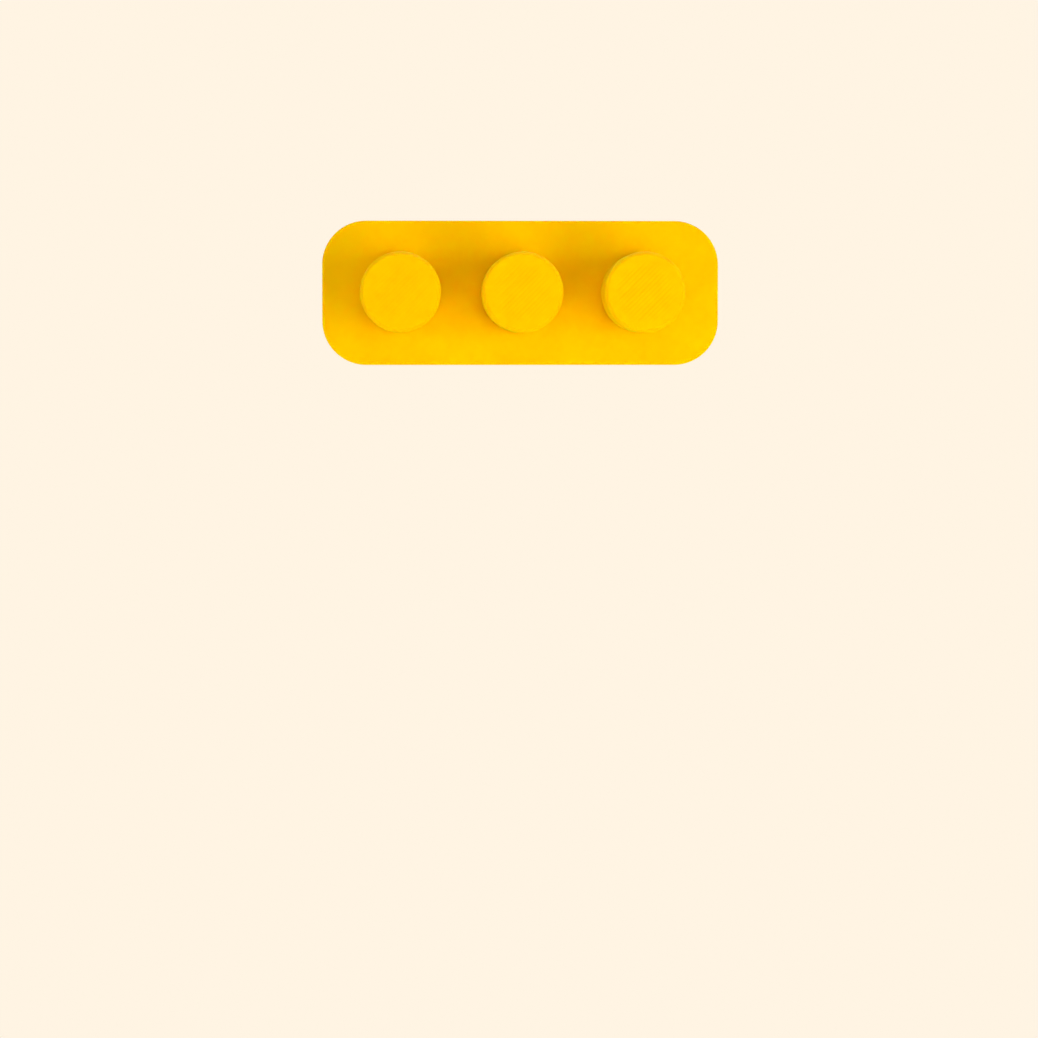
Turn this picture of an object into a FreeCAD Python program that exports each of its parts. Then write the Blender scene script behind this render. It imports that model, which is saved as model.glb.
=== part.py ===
import FreeCAD
import Part
import math
import os

# Wall-mounted toothbrush holder. A printed plate carries three round pegs in a row, and a handle's
# neck drops into the slot between two of them. Each peg is printed by itself: its keyed spigot sits
# in a socket in the plate's front, and a countersunk self-tapping screw draws it home from behind.
# A foam pad in the plate's back recess covers the screws and sticks the holder to the wall.
#
# Every piece is modelled lying on its back, in millimetres: X runs to the right, Y up the wall and
# Z out of the wall, which is the plane Z = 0. write() then stands it up in the part's own frame,
# with +Z up, the front towards -Y and the origin at the middle of the pad's wall face.

# Plate
PLATE_WIDTH = 90.0
PLATE_HEIGHT = 32.7
PLATE_THICKNESS = 5.0
PLATE_CORNER_RADIUS = 10.0
PLATE_FRONT_ROUND = 0.4
PLATE_BACK_CHAMFER = 0.3

# Pegs, from left to right
PEG_SIDES = ("left", "middle", "right")
PEG_PITCH = 27.3
PEG_DIAMETER = 18.0
PEG_LENGTH = 16.0
PEG_FRONT_CHAMFER = 0.6

# Keyed spigot behind each peg, and its socket in the plate
SPIGOT_DIAMETER = 10.0
SPIGOT_FLAT_DEPTH = 1.2
SPIGOT_CHAMFER = 0.3
SPIGOT_SIDE_CLEARANCE = 0.1
SPIGOT_END_CLEARANCE = 0.1
SOCKET_FLOOR_THICKNESS = 0.2

# Foam pad, and its recess in the plate
PAD_THICKNESS = 1.0
PAD_PROUD = 0.5
PAD_MARGIN = 4.0
PAD_CORNER_RADIUS = 6.0
PAD_CLEARANCE = 0.2

# Self-tapping screw, 2.9 x 13, with a countersunk head and a cross recess
SCREW_LENGTH = 13.0
SCREW_DIAMETER = 2.9
THREAD_DEPTH = 0.4
THREAD_PITCH = 1.1
THREAD_CREST_WIDTH = 0.12
THREAD_FLANK_DEGREES = 30.0
POINT_LENGTH = 1.8
POINT_DIAMETER = 0.5
NECK_LENGTH = 0.4
HEAD_DIAMETER = 5.5
HEAD_RIM = 0.3
HEAD_SINK = 0.2
CROSS_SPAN = 3.0
CROSS_WIDTH = 0.6
CROSS_DEPTH = 1.2

# Screw fits
HOLE_CLEARANCE = 0.15
SEAT_CLEARANCE = 0.03
THREAD_CLEARANCE = 0.03
TAPPED_HOLE_SPARE = 1.0
TAPPED_HOLE_MOUTH = 0.6

# How far a cutting tool runs past the face that it opens, and a thread's root into its core
OVERRUN = 0.5
THREAD_BITE = 0.1

# The head's cone is 90 degrees, so it is as high as it is wide beyond the screw's core
CORE_RADIUS = SCREW_DIAMETER / 2 - THREAD_DEPTH
HEAD_HEIGHT = HEAD_RIM + HEAD_DIAMETER / 2 - CORE_RADIUS

# Depths out of the wall
PLATE_BACK = PAD_PROUD
RECESS_FLOOR = PAD_THICKNESS
SCREW_TOP = RECESS_FLOOR + HEAD_SINK
SOCKET_FLOOR = SCREW_TOP + HEAD_HEIGHT + SOCKET_FLOOR_THICKNESS
SPIGOT_END = SOCKET_FLOOR + SPIGOT_END_CLEARANCE
PLATE_FRONT = PLATE_BACK + PLATE_THICKNESS
PEG_TIP = PLATE_FRONT + PEG_LENGTH


def at(x, y, z):
    return FreeCAD.Vector(x, y, z)


def peg_place(index):
    """How far a peg stands to the right of the plate's middle."""
    return (index - (len(PEG_SIDES) - 1) / 2) * PEG_PITCH


def disc(radius, low, high):
    """A round bar along the Z axis."""
    return Part.makeCylinder(radius, high - low, at(0, 0, low))


def taper(low_radius, high_radius, low, high):
    """A slice of a cone along the Z axis."""
    return Part.makeCone(low_radius, high_radius, high - low, at(0, 0, low))


def keyed_disc(radius, flat_depth, low, high):
    """A round bar along the Z axis, with a flat along its underside."""
    below = Part.makeBox(2 * radius, radius, high - low, at(-radius, flat_depth - 2 * radius, low))
    return disc(radius, low, high).cut(below)


def rounded_slab(width, height, corner, low, high):
    """A slab around the Z axis with its four upright edges rounded."""
    slab = Part.makeBox(width, height, high - low, at(-width / 2, -height / 2, low))
    upright = [edge for edge in slab.Edges if edge.BoundBox.ZLength > edge.Length / 2]
    return slab.makeFillet(corner, upright)


def front_edges(solid):
    """The edges around a solid's frontmost face."""
    return max(solid.Faces, key=lambda face: face.CenterOfMass.z).Edges


def back_edges(solid):
    """The edges around a solid's rearmost face."""
    return min(solid.Faces, key=lambda face: face.CenterOfMass.z).Edges


def pad_outline(clearance, low, high):
    """The pad's shape, a margin inside the plate's outline, grown by a clearance."""
    width = PLATE_WIDTH - 2 * PAD_MARGIN + 2 * clearance
    height = PLATE_HEIGHT - 2 * PAD_MARGIN + 2 * clearance
    return rounded_slab(width, height, PAD_CORNER_RADIUS + clearance, low, high)


def foam_pad():
    """The double-sided foam pad, whose wall face is the part's own mounting face."""
    return pad_outline(0, 0, PAD_THICKNESS)


def screw_head(clearance):
    """The screw's countersunk head, grown by a clearance, with its top at Z = 0."""
    radius = HEAD_DIAMETER / 2 + clearance
    rim = disc(radius, 0, HEAD_RIM)
    return rim.fuse(taper(radius, CORE_RADIUS + clearance, HEAD_RIM, HEAD_HEIGHT))


def screw_thread(clearance):
    """The screw's thread, grown by a clearance: one tooth of the section swept up a helix."""
    start = HEAD_HEIGHT + NECK_LENGTH
    end = SCREW_LENGTH - POINT_LENGTH + clearance
    crest = SCREW_DIAMETER / 2 + clearance
    root = CORE_RADIUS + clearance - THREAD_BITE
    crest_half = THREAD_CREST_WIDTH / 2 + clearance
    root_half = crest_half + (crest - root) * math.tan(math.radians(THREAD_FLANK_DEGREES))
    tooth = Part.makePolygon([
        at(root, 0, start - root_half),
        at(crest, 0, start - crest_half),
        at(crest, 0, start + crest_half),
        at(root, 0, start + root_half),
        at(root, 0, start - root_half),
    ])
    helix = Part.makeHelix(THREAD_PITCH, end - start, root)
    helix.translate(at(0, 0, start))
    return Part.Wire(helix.Edges).makePipeShell([tooth], True, True)


def screw_shank(clearance):
    """The screw's core, point and thread, grown by a clearance."""
    core = CORE_RADIUS + clearance
    point_start = SCREW_LENGTH - POINT_LENGTH
    shank = disc(core, 0, point_start)
    point = taper(core, POINT_DIAMETER / 2 + clearance, point_start, SCREW_LENGTH)
    return shank.fuse([point, screw_thread(clearance)])


def cross_recess():
    """The cross that a driver turns, narrowing towards its bottom."""
    wing = Part.makeBox(CROSS_SPAN, CROSS_WIDTH, CROSS_DEPTH, at(-CROSS_SPAN / 2, -CROSS_WIDTH / 2, 0))
    other_wing = wing.copy()
    other_wing.rotate(at(0, 0, 0), at(0, 0, 1), 90)
    funnel = taper(CROSS_SPAN / 2, CROSS_WIDTH / 2, 0, CROSS_DEPTH)
    return wing.fuse(other_wing).common(funnel)


def peg_screw():
    """One screw, driven in along +Z from behind the plate."""
    screw = screw_shank(0).fuse(screw_head(0)).removeSplitter().cut(cross_recess())
    screw.translate(at(0, 0, SCREW_TOP))
    return screw


def peg():
    """One printed peg: a straight post, chamfered in front, with a spigot and a tapped hole behind.

    The hole's mouth is wider than the thread, so that the screw's first turn lifts no burr.
    """
    post = disc(PEG_DIAMETER / 2, PLATE_FRONT, PEG_TIP)
    post = post.makeChamfer(PEG_FRONT_CHAMFER, front_edges(post))
    spigot = keyed_disc(SPIGOT_DIAMETER / 2, SPIGOT_FLAT_DEPTH, SPIGOT_END, PLATE_FRONT)
    spigot = spigot.makeChamfer(SPIGOT_CHAMFER, back_edges(spigot))
    tapped_hole = screw_shank(THREAD_CLEARANCE)
    tapped_hole.translate(at(0, 0, SCREW_TOP))
    drill_end = SCREW_TOP + SCREW_LENGTH + TAPPED_HOLE_SPARE
    drill = disc(CORE_RADIUS + THREAD_CLEARANCE, SPIGOT_END - OVERRUN, drill_end)
    mouth = disc(SCREW_DIAMETER / 2 + HOLE_CLEARANCE, SPIGOT_END - OVERRUN, SPIGOT_END + TAPPED_HOLE_MOUTH)
    return post.fuse(spigot).removeSplitter().cut(tapped_hole.fuse([drill, mouth]))


def peg_seat():
    """What is cut from the plate for one peg: its keyed socket, and the screw's hole and countersink."""
    socket = keyed_disc(
        SPIGOT_DIAMETER / 2 + SPIGOT_SIDE_CLEARANCE, SPIGOT_FLAT_DEPTH, SOCKET_FLOOR, PLATE_FRONT + OVERRUN,
    )
    hole = disc(SCREW_DIAMETER / 2 + HOLE_CLEARANCE, SCREW_TOP, SOCKET_FLOOR + OVERRUN)
    head = screw_head(SEAT_CLEARANCE)
    head.translate(at(0, 0, SCREW_TOP))
    mouth = disc(HEAD_DIAMETER / 2 + SEAT_CLEARANCE, RECESS_FLOOR - OVERRUN, SCREW_TOP)
    return socket.fuse([hole, head, mouth])


def face_plate():
    """The printed plate, with the pad's recess behind and a seat for each peg."""
    plate = rounded_slab(PLATE_WIDTH, PLATE_HEIGHT, PLATE_CORNER_RADIUS, PLATE_BACK, PLATE_FRONT)
    plate = plate.makeFillet(PLATE_FRONT_ROUND, front_edges(plate))
    plate = plate.makeChamfer(PLATE_BACK_CHAMFER, back_edges(plate))
    plate = plate.cut(pad_outline(PAD_CLEARANCE, PLATE_BACK - OVERRUN, RECESS_FLOOR))
    for index in range(len(PEG_SIDES)):
        seat = peg_seat()
        seat.translate(at(peg_place(index), 0, 0))
        plate = plate.cut(seat)
    return plate


def write(name, solid, right=0):
    """Moves a piece to its place along the plate, stands it up against the wall and writes it."""
    assert solid.isValid() and len(solid.Solids) == 1, name
    placed = solid.copy()
    placed.translate(at(right, 0, 0))
    placed.rotate(at(0, 0, 0), at(1, 0, 0), 90)
    placed.exportStep("parts/" + name + ".step")
    print(name, round(placed.Volume), "mm3")


os.makedirs("parts", exist_ok=True)
write("face_plate", face_plate())
write("foam_pad", foam_pad())
one_peg = peg()
one_screw = peg_screw()
for index, side in enumerate(PEG_SIDES):
    write(side + "_peg", one_peg, peg_place(index))
    write(side + "_peg_screw", one_screw, peg_place(index))
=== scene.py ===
import bmesh
import bpy
import math
import random
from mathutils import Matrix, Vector


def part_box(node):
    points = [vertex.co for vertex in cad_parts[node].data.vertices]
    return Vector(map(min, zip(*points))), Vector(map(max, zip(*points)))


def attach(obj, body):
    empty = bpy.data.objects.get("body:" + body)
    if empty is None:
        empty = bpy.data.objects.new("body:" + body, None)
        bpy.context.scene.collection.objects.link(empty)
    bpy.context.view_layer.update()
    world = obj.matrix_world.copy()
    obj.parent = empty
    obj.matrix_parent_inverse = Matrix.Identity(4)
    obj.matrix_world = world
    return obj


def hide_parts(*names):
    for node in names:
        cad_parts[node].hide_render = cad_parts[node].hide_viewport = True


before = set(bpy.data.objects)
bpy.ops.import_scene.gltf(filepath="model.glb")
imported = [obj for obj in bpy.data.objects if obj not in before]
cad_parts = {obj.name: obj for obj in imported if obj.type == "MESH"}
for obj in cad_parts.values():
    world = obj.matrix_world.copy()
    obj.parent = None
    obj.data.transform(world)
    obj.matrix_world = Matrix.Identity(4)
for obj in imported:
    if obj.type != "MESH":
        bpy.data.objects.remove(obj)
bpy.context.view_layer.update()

# Face plate: one flat plate with round corners, printed in yellow plastic with its front on the smooth
# bed, so that layer lines run round its side walls only. Each peg has a keyed socket in the front, with
# a countersunk screw hole through its floor, and a shallow recess in the back takes the foam pad.
plate_low, plate_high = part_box("face_plate")
pad_low, pad_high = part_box("foam_pad")
PLATE_CORNER = 0.010
PLATE_FRONT_ROUND = 0.0004
PLATE_BACK_CHAMFER = 0.0003
CORNER_STEPS = 24
ROUND_STEPS = 3
HOLDING_LOOP = 0.00015
PAD_CLEARANCE = 0.0002
SPIGOT_FLAT = 0.0038
SOCKET_RADIUS = 0.0051
SOCKET_CLEARANCE = 0.0001
SCREW_HOLE_RADIUS = 0.0016
HEAD_SEAT_RADIUS = 0.00278
HEAD_RIM = 0.0003
CUT_OVERRUN = 0.0003
CUT_FACETS = 64
LAYER_HEIGHT = 0.0002
LAYER_GROOVE = 0.00003
GROOVE_SHARES = (0.5, 0.8, 1.0, 1.4)
RINGS_PER_LAYER = 3
LAYER_TOLERANCE = 0.1
BACK_BEADS = 9
BACK_GROOVE = 0.00003
HALF_BEAD_TOLERANCE = 0.2
# Attribute that marks painted shade: the back rim's grooves on the plate, and the tips' rims on the
# pegs.
PAINTED_SHADE_ATTRIBUTE = "painted_groove_and_rim_shade"
SMOOTH_ANGLE = math.radians(30)
TOUCH = 0.00001
YELLOW = (0.985, 0.592, 0.0, 1)
DEEP_YELLOW = (0.96, 0.542, 0.0, 1)
GLOSS_YELLOW = (1.0, 0.7, 0.0, 1)
GLOSS_LEVEL = 0.15
GLOW_REACH = (0.8, 0.4, 0.2)
GLOW_SCALE = 0.001
MOTTLE_SCALE = 160
LAYER_TONE_SCALE = 0.9
LAYER_LINE_START = 0.2
SMEAR_SCALE = 420
ROUGHNESS_SPREAD = 0.07
TOOTH_SCALE = 5200
TOOTH_HEIGHT = 0.000004
# Layer lines on the walls: a random tone for each layer, plus painted shade in the grooves between
# layers.
LAYER_TONE_AND_PAINTED_SHADE = 1.5
PAINTED_SHADE_GAIN = 2.0
PEG_NODES = ("left_peg", "middle_peg", "right_peg")


def middle_of(box):
    return (box[0] + box[1]) / 2


def name_piece(name):
    """Names the shape that was just added, and puts its place and size into its mesh."""
    piece = bpy.context.object
    piece.name = name
    piece.data.name = name
    bpy.ops.object.transform_apply(location=True, rotation=True, scale=True)
    return piece


def open_piece(piece):
    """Opens one piece alone in edit mode."""
    bpy.ops.object.select_all(action="DESELECT")
    bpy.context.view_layer.objects.active = piece
    piece.select_set(True)
    bpy.ops.object.mode_set(mode="EDIT")


def close_piece():
    bpy.ops.object.mode_set(mode="OBJECT")


def pick(kind, test):
    """Selects the points, edges or faces of the open piece that pass the test, and nothing else."""
    bpy.ops.mesh.select_mode(type=kind)
    bpy.ops.mesh.select_all(action="DESELECT")
    mesh = bmesh.from_edit_mesh(bpy.context.object.data)
    for element in {"VERT": mesh.verts, "EDGE": mesh.edges, "FACE": mesh.faces}[kind]:
        if test(element):
            element.select_set(True)
    mesh.select_flush_mode()
    bmesh.update_edit_mesh(bpy.context.object.data)


def runs_outwards(edge):
    """Whether an edge runs mostly straight out of the wall."""
    run = edge.verts[1].co - edge.verts[0].co
    return abs(run.y) > 0.5 * run.length


def lies_at(element, depth):
    """Whether all of an edge or face lies at one depth out of the wall."""
    return all(abs(point.co.y - depth) < TOUCH for point in element.verts)


def push(distance):
    """Moves what is selected straight out of the wall, or into it for a negative distance."""
    bpy.ops.transform.translate(value=(0, -distance, 0))


def extrude(distance):
    """Extrudes the selected faces straight out of the wall, or into it for a negative distance."""
    bpy.ops.mesh.extrude_region_move(TRANSFORM_OT_translate={"value": (0, -distance, 0)})


def shrink_round(share, centre):
    """Draws what is selected towards, or away from, a line that runs straight out of the wall."""
    bpy.ops.transform.resize(value=(share, 1, share), center_override=centre)


def cut_layers(on_wall, front, back, layers):
    """Cuts a wall into printed layers, each of a few rings, and draws the grooves between them in.

    It gives the height of a layer.
    """
    for cuts in (layers - 1, RINGS_PER_LAYER - 1):
        pick("EDGE", lambda edge: runs_outwards(edge) and all(map(on_wall, edge.verts)))
        bpy.ops.mesh.subdivide(number_cuts=cuts)
    height = (back - front) / layers
    share_of_layer = [random.choice(GROOVE_SHARES) for _ in range(layers)]

    def groove_share(point):
        """How deep the groove is that a point lies in, or nothing between two grooves."""
        place = (point.co.y - front) / height
        layer = round(place)
        in_groove = abs(place - layer) < LAYER_TOLERANCE and 0 < layer < layers
        return share_of_layer[layer] if in_groove else None

    for share in GROOVE_SHARES:
        pick("VERT", lambda point: on_wall(point) and groove_share(point) == share)
        bpy.ops.transform.shrink_fatten(value=-share * LAYER_GROOVE)
    return height


random.seed(11)
bpy.ops.object.select_all(action="DESELECT")
bpy.ops.mesh.primitive_cube_add(
    size=1, location=middle_of((plate_low, plate_high)), scale=plate_high - plate_low,
)
plate = name_piece("face_plate_print")
open_piece(plate)
pick("EDGE", runs_outwards)
bpy.ops.mesh.bevel(offset=PLATE_CORNER, segments=CORNER_STEPS, affect="EDGES")
pick("EDGE", lambda edge: lies_at(edge, plate_low.y))
bpy.ops.mesh.bevel(offset=PLATE_FRONT_ROUND, segments=ROUND_STEPS, affect="EDGES")
pick("EDGE", lambda edge: lies_at(edge, plate_high.y))
bpy.ops.mesh.bevel(offset=PLATE_BACK_CHAMFER, segments=1, affect="EDGES")
pick("FACE", lambda face: lies_at(face, plate_low.y))
bpy.ops.mesh.inset(thickness=HOLDING_LOOP)
pick("FACE", lambda face: lies_at(face, plate_high.y))
rim_width = plate_high.x - PLATE_BACK_CHAMFER - pad_high.x - PAD_CLEARANCE
for half_bead in range(2 * BACK_BEADS):
    bpy.ops.mesh.inset(thickness=rim_width / (2 * BACK_BEADS))
extrude(plate_high.y - pad_low.y)


def in_back_groove(point):
    """Whether a point lies in a groove between two of the beads that ring the plate's back rim."""
    x, z = abs(point.co.x), abs(point.co.z)
    straight_x, straight_z = plate_high.x - PLATE_CORNER, plate_high.z - PLATE_CORNER
    corner = math.hypot(max(x - straight_x, 0), max(z - straight_z, 0))
    half_beads = (PLATE_CORNER - PLATE_BACK_CHAMFER - corner) / rim_width * 2 * BACK_BEADS
    nearest = round(half_beads)
    on_back = plate_high.y - point.co.y < 2 * BACK_GROOVE
    return on_back and abs(half_beads - nearest) < HALF_BEAD_TOLERANCE and nearest % 2 == 1


pick("VERT", in_back_groove)
push(BACK_GROOVE)
close_piece()

screw_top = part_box("middle_peg_screw")[1].y
socket_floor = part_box("middle_peg")[1].y + SOCKET_CLEARANCE
seat_end = screw_top - HEAD_RIM
for node in PEG_NODES:
    x = middle_of(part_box(node)).x
    bpy.ops.object.select_all(action="DESELECT")
    bpy.ops.mesh.primitive_cylinder_add(
        vertices=CUT_FACETS,
        radius=HEAD_SEAT_RADIUS,
        depth=pad_low.y + CUT_OVERRUN - seat_end,
        location=(x, (pad_low.y + CUT_OVERRUN + seat_end) / 2, 0),
        rotation=(math.pi / 2, 0, 0),
    )
    seat = name_piece("peg_seat")
    open_piece(seat)
    pick("FACE", lambda face: lies_at(face, seat_end))
    cone = HEAD_SEAT_RADIUS - SCREW_HOLE_RADIUS
    extrude(cone)
    shrink_round(SCREW_HOLE_RADIUS / HEAD_SEAT_RADIUS, (x, 0, 0))
    extrude(seat_end - cone - socket_floor)
    extrude(0)
    shrink_round(SOCKET_RADIUS / SCREW_HOLE_RADIUS, (x, 0, 0))
    extrude(socket_floor - plate_low.y + CUT_OVERRUN)
    pick("VERT", lambda point: point.co.z < -SPIGOT_FLAT)
    bpy.ops.transform.resize(value=(1, 1, 0), center_override=(x, 0, -SPIGOT_FLAT))
    close_piece()
    cut = plate.modifiers.new("peg_seat", "BOOLEAN")
    cut.operation = "DIFFERENCE"
    cut.solver = "EXACT"
    cut.object = seat
    bpy.context.view_layer.objects.active = plate
    bpy.ops.object.modifier_apply(modifier=cut.name)
    bpy.data.objects.remove(seat)


def on_plate_wall(point):
    """Whether a point lies on the plate's side walls, and not in a socket or the recess."""
    x, z = abs(point.co.x), abs(point.co.z)
    corner_x, corner_z = x - plate_high.x + PLATE_CORNER, z - plate_high.z + PLATE_CORNER
    if corner_x > 0 and corner_z > 0:
        return abs(math.hypot(corner_x, corner_z) - PLATE_CORNER) < 5 * TOUCH
    return abs(x - plate_high.x) < TOUCH or abs(z - plate_high.z) < TOUCH


open_piece(plate)
wall_front = plate_low.y + PLATE_FRONT_ROUND
wall_back = plate_high.y - PLATE_BACK_CHAMFER
plate_layers = round((wall_back - wall_front) / LAYER_HEIGHT)
plate_layer = cut_layers(on_plate_wall, wall_front, wall_back, plate_layers)
close_piece()
bpy.ops.object.shade_smooth_by_angle(angle=SMOOTH_ANGLE)
# Painted shade in the grooves between the back rim's beads.
back_painted_shade = plate.data.attributes.new(PAINTED_SHADE_ATTRIBUTE, "FLOAT", "POINT")
back_painted_shade.data.foreach_set("value", [float(in_back_groove(point)) for point in plate.data.vertices])


def add_node(tree, kind, inputs=(), **settings):
    """Adds a node to a material or group, with its settings, and the values or links of its inputs."""
    node = tree.nodes.new(kind)
    for name, value in settings.items():
        setattr(node, name, value)
    for name, value in dict(inputs).items():
        if isinstance(value, bpy.types.NodeSocket):
            tree.links.new(value, node.inputs[name])
        else:
            node.inputs[name].default_value = value
    return node


def printed_grain():
    """What every printed piece shares: mottling, layers, the lines that fill a flat face, and a tooth.

    The layers on the walls differ a little in tone at random. The grooves between layers and between
    lines, and the marked grooves and rims, are darkened with painted shade.
    """
    group = bpy.data.node_groups.new("printed_grain", "ShaderNodeTree")
    sockets = (
        ("Place", "INPUT", "NodeSocketVector"),
        ("Colour", "INPUT", "NodeSocketColor"),
        ("Deep Colour", "INPUT", "NodeSocketColor"),
        ("Layer Start", "INPUT", "NodeSocketFloat"),
        ("Layer Height", "INPUT", "NodeSocketFloat"),
        ("Layers", "INPUT", "NodeSocketFloat"),
        ("Layer Tone And Painted Shade", "INPUT", "NodeSocketFloat"),
        ("Painted Bead And Rim Shade", "INPUT", "NodeSocketFloat"),
        ("Groove Pitch", "INPUT", "NodeSocketFloat"),
        ("Painted Groove Shade", "INPUT", "NodeSocketFloat"),
        ("Groove Depth", "INPUT", "NodeSocketFloat"),
        ("Tooth", "INPUT", "NodeSocketFloat"),
        ("Mean Roughness", "INPUT", "NodeSocketFloat"),
        ("Colour", "OUTPUT", "NodeSocketColor"),
        ("Roughness", "OUTPUT", "NodeSocketFloat"),
        ("Height", "OUTPUT", "NodeSocketFloat"),
    )
    for name, side, kind in sockets:
        group.interface.new_socket(name=name, in_out=side, socket_type=kind)
    given = add_node(group, "NodeGroupInput").outputs
    place = given["Place"]
    mottle = add_node(
        group, "ShaderNodeTexNoise", {"Vector": place, "Scale": MOTTLE_SCALE, "Detail": 2},
    )
    depth = add_node(group, "ShaderNodeSeparateXYZ", {"Vector": place})
    along = add_node(
        group, "ShaderNodeMath",
        {0: depth.outputs["Y"], 1: given["Layer Start"]}, operation="SUBTRACT",
    )
    layer = add_node(
        group, "ShaderNodeMath", {0: along.outputs[0], 1: given["Layer Height"]}, operation="DIVIDE",
    )
    layer_tone = add_node(
        group, "ShaderNodeTexNoise",
        {"W": layer.outputs[0], "Scale": LAYER_TONE_SCALE, "Detail": 1}, noise_dimensions="1D",
    )
    both = add_node(
        group, "ShaderNodeMath",
        {0: mottle.outputs["Fac"], 1: layer_tone.outputs["Fac"]}, operation="MULTIPLY",
    )
    deep_share = add_node(
        group, "ShaderNodeMapRange",
        {"Value": both.outputs[0], "From Min": 0.1, "From Max": 0.45, "To Max": 0.6},
    )
    # Painted shade: a dark line at each groove between layers, on the walls only, with each layer's
    # random tone added.
    layer_turn = add_node(
        group, "ShaderNodeMath", {0: layer.outputs[0], 1: 2 * math.pi}, operation="MULTIPLY",
    )
    layer_wave = add_node(group, "ShaderNodeMath", {0: layer_turn.outputs[0]}, operation="COSINE")
    painted_layer_line_shade = add_node(
        group, "ShaderNodeMapRange",
        {"Value": layer_wave.outputs[0], "From Min": LAYER_LINE_START, "From Max": 1},
    )
    layer_shift = add_node(
        group, "ShaderNodeMapRange",
        {"Value": layer_tone.outputs["Fac"],
         "From Min": 0.25, "From Max": 0.75, "To Min": -0.5, "To Max": 0.5},
    )
    layer_tone_and_line_shade = add_node(
        group, "ShaderNodeMath",
        {0: painted_layer_line_shade.outputs[0], 1: layer_shift.outputs[0]}, operation="ADD",
    )
    wall_place = add_node(
        group, "ShaderNodeMath", {0: layer.outputs[0], 1: given["Layers"]}, operation="DIVIDE",
    )
    on_wall = add_node(
        group, "ShaderNodeMath", {0: wall_place.outputs[0], 1: 0.5, 2: 0.5}, operation="COMPARE",
    )
    wall_tone_and_painted_shade = add_node(
        group, "ShaderNodeMath", {0: on_wall.outputs[0], 1: given["Layer Tone And Painted Shade"]}, operation="MULTIPLY",
    )
    # Random tone plus painted shade from the marked grooves and rims.
    tone_and_painted_bead_shade = add_node(
        group, "ShaderNodeMath", {0: deep_share.outputs[0], 1: given["Painted Bead And Rim Shade"]}, operation="ADD",
    )
    wall_share = add_node(
        group, "ShaderNodeMath",
        {0: layer_tone_and_line_shade.outputs[0], 1: wall_tone_and_painted_shade.outputs[0], 2: tone_and_painted_bead_shade.outputs[0]},
        operation="MULTIPLY_ADD",
    )
    across = add_node(
        group, "ShaderNodeMath", {0: depth.outputs["X"], 1: depth.outputs["Z"]}, operation="SUBTRACT",
    )
    line = add_node(
        group, "ShaderNodeMath", {0: across.outputs[0], 1: given["Groove Pitch"]}, operation="DIVIDE",
    )
    turn = add_node(
        group, "ShaderNodeMath", {0: line.outputs[0], 1: math.pi * math.sqrt(2)}, operation="MULTIPLY",
    )
    wave = add_node(group, "ShaderNodeMath", {0: turn.outputs[0]}, operation="SINE")
    groove = add_node(group, "ShaderNodeMath", {0: wave.outputs[0], 1: 0}, operation="MAXIMUM")
    # Painted shade: the grooves between fill lines are drawn deeper in colour, added to the walls' and
    # beads' share.
    shaded = add_node(
        group, "ShaderNodeMath",
        {0: groove.outputs[0], 1: given["Painted Groove Shade"], 2: wall_share.outputs[0]},
        operation="MULTIPLY_ADD",
    )
    colour = add_node(
        group, "ShaderNodeMix", {0: shaded.outputs[0], 6: given["Colour"], 7: given["Deep Colour"]},
        data_type="RGBA", clamp_factor=False,
    )
    sunk = add_node(
        group, "ShaderNodeMath", {0: groove.outputs[0], 1: given["Groove Depth"]}, operation="MULTIPLY",
    )
    tooth = add_node(
        group, "ShaderNodeTexNoise", {"Vector": place, "Scale": TOOTH_SCALE, "Detail": 3},
    )
    rise = add_node(
        group, "ShaderNodeMath", {0: tooth.outputs["Fac"], 1: given["Tooth"]}, operation="MULTIPLY",
    )
    height = add_node(
        group, "ShaderNodeMath", {0: rise.outputs[0], 1: sunk.outputs[0]}, operation="SUBTRACT",
    )
    smears = add_node(
        group, "ShaderNodeTexNoise", {"Vector": place, "Scale": SMEAR_SCALE, "Detail": 4},
    )
    spread = add_node(
        group, "ShaderNodeMapRange",
        {"Value": smears.outputs["Fac"], "To Min": -ROUGHNESS_SPREAD, "To Max": ROUGHNESS_SPREAD},
    )
    roughness = add_node(
        group, "ShaderNodeMath", {0: spread.outputs[0], 1: given["Mean Roughness"]}, operation="ADD",
    )
    add_node(
        group, "NodeGroupOutput",
        {"Colour": colour.outputs[2], "Roughness": roughness.outputs[0], "Height": height.outputs[0]},
    )
    return group


PRINTED_GRAIN = printed_grain()


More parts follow.
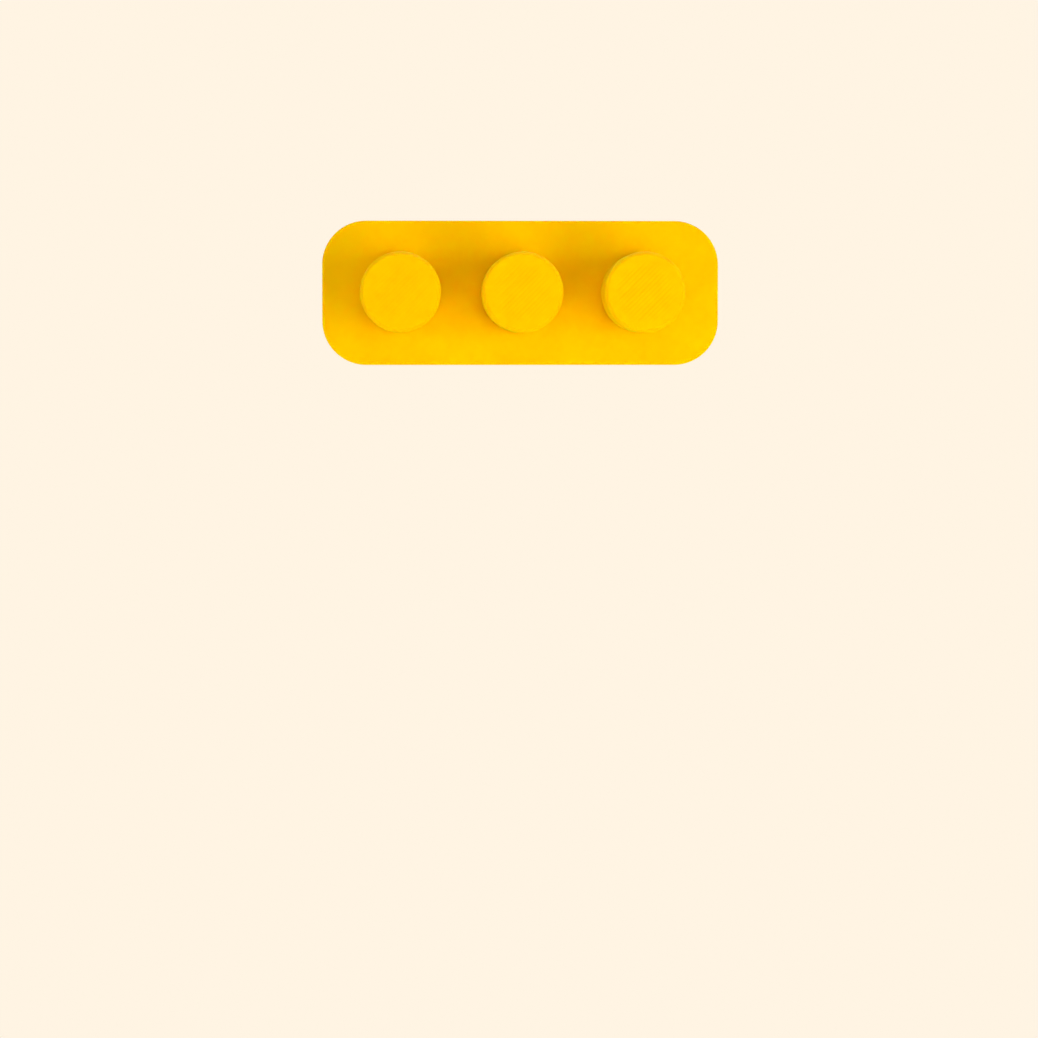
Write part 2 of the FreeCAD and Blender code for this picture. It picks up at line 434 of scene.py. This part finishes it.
def printed_plastic(name, finish):
    """Yellow printed plastic: matt, saturated, and translucent enough to soften its own shadows."""
    material = bpy.data.materials.new(name)
    material.use_nodes = True
    tree = material.node_tree
    shader = tree.nodes["Principled BSDF"]
    place = add_node(tree, "ShaderNodeTexCoord").outputs["Object"]
    grain = add_node(
        tree, "ShaderNodeGroup",
        {"Place": place, "Colour": YELLOW, "Deep Colour": DEEP_YELLOW, **finish},
        node_tree=PRINTED_GRAIN,
    )
    grain.name = "grain"
    # Painted shade from the attribute: the back rim's grooves and the tips' rims are drawn deeper in
    # colour.
    beads = add_node(tree, "ShaderNodeAttribute", attribute_name=PAINTED_SHADE_ATTRIBUTE)
    tone = add_node(
        tree, "ShaderNodeMath", {0: beads.outputs["Fac"], 1: PAINTED_SHADE_GAIN}, operation="MULTIPLY",
    )
    tree.links.new(tone.outputs[0], grain.inputs["Painted Bead And Rim Shade"])
    bump = add_node(
        tree, "ShaderNodeBump",
        {"Height": grain.outputs["Height"], "Strength": 1.0, "Distance": 1.0},
    )
    tree.links.new(grain.outputs["Colour"], shader.inputs["Base Color"])
    tree.links.new(grain.outputs["Roughness"], shader.inputs["Roughness"])
    tree.links.new(bump.outputs["Normal"], shader.inputs["Normal"])
    shader.inputs["Specular IOR Level"].default_value = GLOSS_LEVEL
    shader.inputs["Specular Tint"].default_value = GLOSS_YELLOW
    shader.inputs["Subsurface Weight"].default_value = 1
    shader.inputs["Subsurface Radius"].default_value = GLOW_REACH
    shader.inputs["Subsurface Scale"].default_value = GLOW_SCALE
    return material


PLATE_FINISH = {
    "Layer Start": wall_front,
    "Layer Height": plate_layer,
    "Layers": plate_layers,
    "Layer Tone And Painted Shade": LAYER_TONE_AND_PAINTED_SHADE,
    "Groove Pitch": 0.0004,
    "Groove Depth": 0.0000015,
    "Painted Groove Shade": 0.0,
    "Tooth": TOOTH_HEIGHT,
    "Mean Roughness": 0.66,
}
plate.data.materials.clear()
plate.data.materials.append(printed_plastic("plate_plastic", PLATE_FINISH))
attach(plate, "root")
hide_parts("face_plate")

# Pegs: three straight round posts of the same yellow plastic, each printed by itself, tip down. The tip
# shows two beads round its rim and diagonal fill lines inside them, and the flank shows its layers and
# the seam where each begins. A keyed spigot behind takes the screw.
PEG_FACETS = 128
PEG_CHAMFER = 0.0006
CHAMFER_LAYERS = 3
EDGE_SOFTENING = 0.00012
BEAD_WIDTH = 0.0004
RIM_BEADS = 2
RIM_GROOVE = 0.000018
# Painted shade on the tip's chamfer.
PAINTED_RIM_SHADE = 0.3
# Painted shade: how much deeper in colour the grooves of the tips' fill are drawn.
PAINTED_GROOVE_SHADE = 1.0
FILL_GROOVE = 0.0001
SHALLOW_GROOVE_SHARE = 0.2
FILL_CROSS_CUT = 0.0014
FILL_BANDS = ((0.0, 0.0048, 1.0), (0.0048, 0.0062, 0.7), (0.0062, 0.0078, 0.4))
FILL_DEPTH_SHARES = {"left_peg": 0.4, "middle_peg": 0.7, "right_peg": 1.0}
FILL_TOLERANCE = 0.02
SPIGOT_RADIUS = 0.005
SPIGOT_CHAMFER = 0.0003
PEG_HOLE_RADIUS = 0.00148
PEG_HOLE_END = 0.0152
SEAM_ANGLE = math.radians(-106)
SEAM_HEIGHT = 0.00003
SEAM_FULLNESS = 0.7

peg_low, peg_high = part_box("middle_peg")
peg_radius = peg_high.x
tip = peg_low.y
shoulder = plate_low.y


def off_axis(point, x=0):
    """How far a point lies from the axis of the peg at a place along the plate."""
    return math.hypot(point.co.x - x, point.co.z)


def ring_at(edge, radius, depth):
    """Whether all of an edge lies on one ring round the middle peg's axis."""
    return lies_at(edge, depth) and all(abs(off_axis(point) - radius) < TOUCH for point in edge.verts)


def on_flank(point):
    """Whether a point lies on the middle peg's straight flank."""
    in_depth = flank_front - TOUCH < point.co.y < shoulder + TOUCH
    return in_depth and abs(off_axis(point) - peg_radius) < TOUCH


def on_chamfer(point):
    """Whether a point lies on the middle peg's front chamfer."""
    from_slope = off_axis(point) - (peg_radius - PEG_CHAMFER) - (point.co.y - tip)
    return abs(from_slope) < TOUCH and chamfer_front - TOUCH < point.co.y < chamfer_back + TOUCH


bpy.ops.object.select_all(action="DESELECT")
bpy.ops.mesh.primitive_cylinder_add(
    vertices=PEG_FACETS,
    radius=peg_radius,
    depth=shoulder - tip,
    location=(0, (shoulder + tip) / 2, 0),
    rotation=(math.pi / 2, 0, 0),
)
peg = name_piece("middle_peg_print")
open_piece(peg)
pick("EDGE", lambda edge: lies_at(edge, tip))
bpy.ops.mesh.bevel(offset=PEG_CHAMFER, segments=1, affect="EDGES")
pick(
    "EDGE",
    lambda edge: ring_at(edge, peg_radius - PEG_CHAMFER, tip)
    or ring_at(edge, peg_radius, tip + PEG_CHAMFER),
)
bpy.ops.mesh.bevel(offset=EDGE_SOFTENING, segments=2, affect="EDGES")

pick("FACE", lambda face: lies_at(face, shoulder))
bpy.ops.mesh.inset(thickness=peg_radius - SPIGOT_RADIUS)
extrude(shoulder - peg_high.y)
pick("EDGE", lambda edge: lies_at(edge, peg_high.y))
bpy.ops.mesh.bevel(offset=SPIGOT_CHAMFER, segments=1, affect="EDGES")
pick("FACE", lambda face: lies_at(face, peg_high.y))
bpy.ops.mesh.inset(thickness=SPIGOT_RADIUS - SPIGOT_CHAMFER - PEG_HOLE_RADIUS)
extrude(peg_high.y + PEG_HOLE_END)
pick("VERT", lambda point: point.co.y > shoulder + TOUCH and point.co.z < -SPIGOT_FLAT)
bpy.ops.transform.resize(value=(1, 1, 0), center_override=(0, 0, -SPIGOT_FLAT))

flank_front = tip + PEG_CHAMFER + EDGE_SOFTENING
chamfer_front = tip + EDGE_SOFTENING / math.sqrt(2)
chamfer_back = tip + PEG_CHAMFER - EDGE_SOFTENING / math.sqrt(2)
flank_layers = round((shoulder - flank_front) / LAYER_HEIGHT)
flank_layer = cut_layers(on_flank, flank_front, shoulder, flank_layers)
cut_layers(on_chamfer, chamfer_front, chamfer_back, CHAMFER_LAYERS)
pick(
    "VERT",
    lambda point: on_flank(point)
    and abs(math.atan2(point.co.z, point.co.x) - SEAM_ANGLE) < math.pi / PEG_FACETS
    and random.random() < SEAM_FULLNESS,
)
bpy.ops.transform.shrink_fatten(value=SEAM_HEIGHT)

pick("FACE", lambda face: lies_at(face, tip))
face_radius = peg_radius - PEG_CHAMFER - EDGE_SOFTENING
fill_radius = face_radius - RIM_BEADS * BEAD_WIDTH
for half_bead in range(2 * RIM_BEADS):
    bpy.ops.mesh.inset(thickness=BEAD_WIDTH / 2)


def in_fill(face):
    """Whether a face lies inside the tip's rim beads."""
    return lies_at(face, tip) and all(off_axis(point) < fill_radius + TOUCH for point in face.verts)


def cut_fill(across, spacing):
    """Cuts the tip's fill along lines that lie evenly spaced across a direction."""
    lines = int(fill_radius / spacing)
    for line in range(-lines, lines + 1):
        pick("FACE", in_fill)
        bpy.ops.mesh.bisect(plane_co=across * line * spacing, plane_no=across)


cut_fill(Vector((1, 0, -1)).normalized(), BEAD_WIDTH / 2)
cut_fill(Vector((1, 0, 1)).normalized(), FILL_CROSS_CUT)
rim_grooves = [face_radius - (bead + 1) * BEAD_WIDTH for bead in range(RIM_BEADS)]
pick(
    "VERT",
    lambda point: abs(point.co.y - tip) < TOUCH
    and any(abs(off_axis(point) - radius) < TOUCH for radius in rim_grooves),
)
push(-RIM_GROOVE)
close_piece()
bpy.ops.object.shade_smooth_by_angle(angle=SMOOTH_ANGLE)


def on_tip_rim(point):
    """Whether a point lies on the tip's rim, outside its flat face and in front of the flank."""
    return off_axis(point) > face_radius - TOUCH and point.co.y < flank_front


# Painted shade on the tip's rim: its chamfer is drawn deeper in colour.
tip_rim_painted_shade = peg.data.attributes.new(PAINTED_SHADE_ATTRIBUTE, "FLOAT", "POINT")
tip_rim_painted_shade.data.foreach_set("value", [PAINTED_RIM_SHADE * on_tip_rim(point) for point in peg.data.vertices])


def in_fill_groove(point, x, inner, outer, step):
    """Whether a point lies in a groove between two fill lines of the peg at x, in a band round its axis.

    A step is half a bead, and every fourth step is 1 in the deep grooves and 3 in the shallow ones.
    """
    in_band = inner <= off_axis(point, x) < min(outer, fill_radius - TOUCH)
    if abs(point.co.y - tip) > TOUCH or not in_band:
        return False
    across = (point.co.x - x - point.co.z) / math.sqrt(2) / (BEAD_WIDTH / 2)
    return abs(across - round(across)) < FILL_TOLERANCE and round(across) % 4 == step


def lower_fill(piece, x, depth):
    """Lowers the grooves between the fill lines, less towards the rim."""
    open_piece(piece)
    for inner, outer, band_share in FILL_BANDS:
        for step, groove_share in ((1, 1), (3, SHALLOW_GROOVE_SHARE)):
            pick("VERT", lambda point: in_fill_groove(point, x, inner, outer, step))
            push(-depth * band_share * groove_share)
    close_piece()


def paint_fill_shade(material):
    """Paints shade into the grooves of the fill, round each peg's own axis, and least at the rim."""
    tree = material.node_tree
    grain = tree.nodes["grain"]
    place = tree.nodes["Texture Coordinate"].outputs["Object"]
    spread = add_node(tree, "ShaderNodeSeparateXYZ", {"Vector": place}).outputs
    row_step = middle_of(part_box("right_peg")).x
    from_axis = add_node(
        tree, "ShaderNodeMath",
        {0: spread["X"], 1: row_step / 2, 2: -row_step / 2}, operation="WRAP",
    )
    centred = add_node(
        tree, "ShaderNodeCombineXYZ",
        {"X": from_axis.outputs[0], "Y": spread["Y"], "Z": spread["Z"]},
    )
    tree.links.new(centred.outputs[0], grain.inputs["Place"])
    flat = add_node(tree, "ShaderNodeCombineXYZ", {"X": from_axis.outputs[0], "Z": spread["Z"]})
    radius = add_node(tree, "ShaderNodeVectorMath", {0: flat.outputs[0]}, operation="LENGTH")
    inside = add_node(
        tree, "ShaderNodeMapRange",
        {"Value": radius.outputs["Value"], "From Min": FILL_BANDS[0][1], "From Max": fill_radius,
         "To Min": 1, "To Max": 0},
    )
    # The painted shade of the grooves grows from the left peg to the right.
    along_row = add_node(
        tree, "ShaderNodeMapRange",
        {"Value": spread["X"], "From Min": -row_step, "From Max": row_step,
         "To Min": PAINTED_GROOVE_SHADE * FILL_DEPTH_SHARES["left_peg"], "To Max": PAINTED_GROOVE_SHADE},
    )
    shade = add_node(
        tree, "ShaderNodeMath", {0: inside.outputs[0], 1: along_row.outputs[0]}, operation="MULTIPLY",
    )
    on_tip = add_node(
        tree, "ShaderNodeMath", {0: spread["Y"], 1: tip + 2 * FILL_GROOVE}, operation="LESS_THAN",
    )
    tip_painted_shade = add_node(
        tree, "ShaderNodeMath", {0: shade.outputs[0], 1: on_tip.outputs[0]}, operation="MULTIPLY",
    )
    tree.links.new(tip_painted_shade.outputs[0], grain.inputs["Painted Groove Shade"])


PEG_FINISH = {
    "Layer Start": flank_front,
    "Layer Height": flank_layer,
    "Layers": flank_layers,
    "Layer Tone And Painted Shade": LAYER_TONE_AND_PAINTED_SHADE,
    "Groove Pitch": 2 * BEAD_WIDTH,
    "Groove Depth": 0.0,
    "Tooth": TOOTH_HEIGHT,
    "Mean Roughness": 0.68,
}
peg_plastic = printed_plastic("peg_plastic", PEG_FINISH)
paint_fill_shade(peg_plastic)
printed_pegs = {"middle_peg": peg}
for node in ("left_peg", "right_peg"):
    bpy.ops.object.select_all(action="DESELECT")
    peg.select_set(True)
    bpy.context.view_layer.objects.active = peg
    bpy.ops.object.duplicate()
    bpy.context.object.location.x = middle_of(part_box(node)).x
    printed_pegs[node] = name_piece(node + "_print")
for node, printed in printed_pegs.items():
    lower_fill(printed, middle_of(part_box(node)).x, FILL_DEPTH_SHARES[node] * FILL_GROOVE)
    printed.data.materials.clear()
    printed.data.materials.append(peg_plastic)
    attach(printed, "root")
    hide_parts(node)

# Screws: three self-tapping screws of zinc-plated steel with countersunk cross heads. Each is driven in
# from behind the plate, through its socket's floor and into the peg. They are the exact solids.
ZINC = (0.62, 0.62, 0.63, 1)
ZINC_TINT = (0.60, 0.585, 0.52, 1)
ZINC_ROUGHNESS = (0.24, 0.46)
CLOUD_SCALE = 900
SCRATCH_SCALE = 2600
SCRATCH_SQUEEZE = (1, 14, 1)
SCRATCH_DEPTH = 0.00001

zinc = bpy.data.materials.new("zinc_plating")
zinc.use_nodes = True
tree = zinc.node_tree
shader = tree.nodes["Principled BSDF"]
place = add_node(tree, "ShaderNodeTexCoord").outputs["Object"]
clouds = add_node(
    tree, "ShaderNodeTexNoise", {"Vector": place, "Scale": CLOUD_SCALE, "Detail": 4},
)
tint = add_node(
    tree, "ShaderNodeMix", {0: clouds.outputs["Fac"], 6: ZINC, 7: ZINC_TINT}, data_type="RGBA",
)
squeezed = add_node(tree, "ShaderNodeMapping", {"Vector": place, "Scale": SCRATCH_SQUEEZE})
scratches = add_node(
    tree, "ShaderNodeTexNoise",
    {"Vector": squeezed.outputs[0], "Scale": SCRATCH_SCALE, "Detail": 3},
)
shine = add_node(
    tree, "ShaderNodeMapRange",
    {"Value": scratches.outputs["Fac"], "To Min": ZINC_ROUGHNESS[0], "To Max": ZINC_ROUGHNESS[1]},
)
bump = add_node(
    tree, "ShaderNodeBump",
    {"Height": scratches.outputs["Fac"], "Strength": 0.4, "Distance": SCRATCH_DEPTH},
)
tree.links.new(tint.outputs[2], shader.inputs["Base Color"])
tree.links.new(shine.outputs[0], shader.inputs["Roughness"])
tree.links.new(bump.outputs["Normal"], shader.inputs["Normal"])
shader.inputs["Metallic"].default_value = 1
for node in PEG_NODES:
    for material_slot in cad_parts[node + "_screw"].material_slots:
        material_slot.material = zinc

# Foam pad: a die-cut piece of white closed-cell foam, coated with clear adhesive on both faces. Its
# front sticks to the floor of the plate's recess, over the screw heads, and its back to the wall.
PAD_CORNER = 0.006
PAD_CORNER_STEPS = 24
FOAM_GRID = 0.0003
FOAM_SMOOTHING = 4
CELL_SIZE = 0.0007
CELL_DEPTH = 0.00006
FOAM = (0.78, 0.78, 0.76, 1)
FOAM_PORE = (0.60, 0.59, 0.565, 1)
PORE_DEPTH = 0.00008
COAT_SCALE = 240
COAT_ROUGHNESS = (0.38, 0.66)

bpy.ops.object.select_all(action="DESELECT")
bpy.ops.mesh.primitive_cube_add(
    size=1, location=middle_of((pad_low, pad_high)), scale=pad_high - pad_low,
)
pad = name_piece("foam_pad_cut")
open_piece(pad)
pick("EDGE", runs_outwards)
bpy.ops.mesh.bevel(offset=PAD_CORNER, segments=PAD_CORNER_STEPS, affect="EDGES")
close_piece()
bpy.ops.object.duplicate()
die = bpy.context.object
die.select_set(False)
pad.select_set(True)
bpy.context.view_layer.objects.active = pad
grid = pad.modifiers.new("grid", "REMESH")
grid.mode = "VOXEL"
grid.voxel_size = FOAM_GRID
bpy.ops.object.modifier_apply(modifier=grid.name)
even_edge = pad.modifiers.new("even_edge", "SMOOTH")
even_edge.iterations = FOAM_SMOOTHING
bpy.ops.object.modifier_apply(modifier=even_edge.name)
clean_cut = pad.modifiers.new("clean_cut", "SHRINKWRAP")
clean_cut.target = die
clean_cut.wrap_method = "NEAREST_SURFACEPOINT"
bpy.ops.object.modifier_apply(modifier=clean_cut.name)
bpy.data.objects.remove(die)
cells = bpy.data.textures.new("foam_cells", "VORONOI")
cells.noise_scale = CELL_SIZE
pits = pad.modifiers.new("pits", "DISPLACE")
pits.texture = cells
pits.texture_coords = "LOCAL"
pits.mid_level = 1
pits.strength = CELL_DEPTH
bpy.ops.object.modifier_apply(modifier=pits.name)
bpy.ops.object.shade_smooth()

foam = bpy.data.materials.new("foam_with_adhesive")
foam.use_nodes = True
tree = foam.node_tree
shader = tree.nodes["Principled BSDF"]
place = add_node(tree, "ShaderNodeTexCoord").outputs["Object"]
pores = add_node(tree, "ShaderNodeTexVoronoi", {"Vector": place, "Scale": 1 / CELL_SIZE})
pore_share = add_node(
    tree, "ShaderNodeMapRange",
    {"Value": pores.outputs["Distance"], "From Min": 0.35, "From Max": 0.8, "To Max": 0.6},
)
shade = add_node(
    tree, "ShaderNodeMix", {0: pore_share.outputs[0], 6: FOAM, 7: FOAM_PORE}, data_type="RGBA",
)
coat = add_node(
    tree, "ShaderNodeTexNoise",
    {"Vector": place, "Scale": COAT_SCALE, "Detail": 5, "Roughness": 0.6},
)
tack = add_node(
    tree, "ShaderNodeMapRange",
    {"Value": coat.outputs["Fac"], "From Min": 0.35, "From Max": 0.65,
     "To Min": COAT_ROUGHNESS[0], "To Max": COAT_ROUGHNESS[1]},
)
bump = add_node(
    tree, "ShaderNodeBump",
    {"Height": pores.outputs["Distance"], "Strength": 0.5, "Distance": PORE_DEPTH},
)
tree.links.new(shade.outputs[2], shader.inputs["Base Color"])
tree.links.new(tack.outputs[0], shader.inputs["Roughness"])
tree.links.new(bump.outputs["Normal"], shader.inputs["Normal"])
pad.data.materials.clear()
pad.data.materials.append(foam)
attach(pad, "root")
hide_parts("foam_pad")

# Floor: a plain pale studio floor well below the holder, which hangs free as it does in the photograph.
# Near by it takes some of the holder's soft shadow, and further out it fades into the plain background.
PALE = (1.0, 0.905, 0.768, 1)
FLOOR_HEIGHT = -0.6
FLOOR_SIZE = 12
SHADOW_REACH = 0.15
FADE_END = 0.5
PALE_SHARE = 0.5


def seen_plainly(tree):
    """1 for what the camera sees, straight or in metal or glass, and 0 for the light that it sends."""
    rays = add_node(tree, "ShaderNodeLightPath")
    either = add_node(
        tree, "ShaderNodeMath",
        {0: rays.outputs["Is Camera Ray"], 1: rays.outputs["Is Glossy Ray"]}, operation="MAXIMUM",
    )
    any_of_them = add_node(
        tree, "ShaderNodeMath",
        {0: either.outputs[0], 1: rays.outputs["Is Transmission Ray"]}, operation="MAXIMUM",
    )
    return any_of_them.outputs[0]


bpy.ops.object.select_all(action="DESELECT")
bpy.ops.mesh.primitive_plane_add(size=FLOOR_SIZE, location=(0, 0, FLOOR_HEIGHT))
floor = name_piece("floor")
pale = bpy.data.materials.new("pale_floor")
pale.use_nodes = True
tree = pale.node_tree
tree.nodes.remove(tree.nodes["Principled BSDF"])
place = add_node(tree, "ShaderNodeTexCoord").outputs["Object"]
level = add_node(tree, "ShaderNodeVectorMath", {0: place, 1: (1, 1, 0)}, operation="MULTIPLY")
distance = add_node(tree, "ShaderNodeVectorMath", {0: level.outputs[0]}, operation="LENGTH")
faded = add_node(
    tree, "ShaderNodeMapRange",
    {"Value": distance.outputs["Value"],
     "From Min": SHADOW_REACH, "From Max": FADE_END, "To Min": PALE_SHARE},
    interpolation_type="SMOOTHSTEP",
)
plain = add_node(
    tree, "ShaderNodeMath", {0: faded.outputs[0], 1: seen_plainly(tree)}, operation="MULTIPLY",
)
lit = add_node(tree, "ShaderNodeBsdfDiffuse", {"Color": PALE})
even = add_node(tree, "ShaderNodeEmission", {"Color": PALE})
both = add_node(
    tree, "ShaderNodeMixShader", {0: plain.outputs[0], 1: lit.outputs[0], 2: even.outputs[0]},
)
tree.links.new(both.outputs[0], tree.nodes["Material Output"].inputs["Surface"])
floor.data.materials.append(pale)

# Light: soft warm lamps all round, with a weak fill in the tone of the pale surroundings. The two on the
# right, one of them low, are the strongest in front, so that the pegs' shadows fall to the left and up.
FILL_STRENGTH = 0.174
WARM_WHITE = (1.0, 0.96, 0.9)
LAMP_SIZE = 0.24
LAMPS = (
    ("front_lamp", (0.0, -0.55, 0.0), 0.76),
    ("right_lamp", (0.368, -0.409, 0.0), 1.1),
    ("low_right_lamp", (0.365, -0.354, -0.211), 1.1),
    ("left_lamp", (-0.529, -0.152, 0.0), 1.03),
    ("low_left_lamp", (-0.374, -0.152, -0.374), 0.65),
    ("top_lamp", (0.0, -0.152, 0.529), 0.99),
    ("high_back_lamp", (0.05, 0.38, 0.38), 1.0),
    ("back_lamp", (-0.15, 0.60, 0.06), 2.5),
)

world = bpy.data.worlds.new("studio")
world.use_nodes = True
tree = world.node_tree
fill = tree.nodes["Background"]
fill.inputs["Color"].default_value = PALE
fill.inputs["Strength"].default_value = FILL_STRENGTH
background = add_node(tree, "ShaderNodeBackground", {"Color": PALE})
both = add_node(
    tree, "ShaderNodeMixShader",
    {0: seen_plainly(tree), 1: fill.outputs[0], 2: background.outputs[0]},
)
tree.links.new(both.outputs[0], tree.nodes["World Output"].inputs["Surface"])
bpy.context.scene.world = world

for name, lamp_place, watts in LAMPS:
    lamp = bpy.data.lights.new(name, "AREA")
    lamp.shape = "DISK"
    lamp.size = LAMP_SIZE
    lamp.energy = watts
    lamp.color = WARM_WHITE
    holder = bpy.data.objects.new(name, lamp)
    holder.location = lamp_place
    holder.rotation_euler = (-Vector(lamp_place)).to_track_quat("-Z", "Y").to_euler()
    holder.visible_camera = False
    bpy.context.scene.collection.objects.link(holder)

# Camera: in front of the holder, a little to the left of its middle and a hand lower, looking slightly
# down and to the right, with a long lens, as the photograph was taken.
CAMERA_PLACE = (-0.0299, -0.8055, -0.0099)
CAMERA_YAW = math.radians(2.116)
CAMERA_TILT = math.radians(-2.969)
CAMERA_LENS = 122.0

camera_data = bpy.data.cameras.new("camera")
camera_data.lens = CAMERA_LENS
camera = bpy.data.objects.new("camera", camera_data)
camera.location = CAMERA_PLACE
aim = Vector((
    math.sin(CAMERA_YAW) * math.cos(CAMERA_TILT),
    math.cos(CAMERA_YAW) * math.cos(CAMERA_TILT),
    math.sin(CAMERA_TILT),
))
camera.rotation_euler = aim.to_track_quat("-Z", "Y").to_euler()
bpy.context.scene.collection.objects.link(camera)
bpy.context.scene.camera = camera
bpy.context.scene.view_settings.view_transform = "Standard"
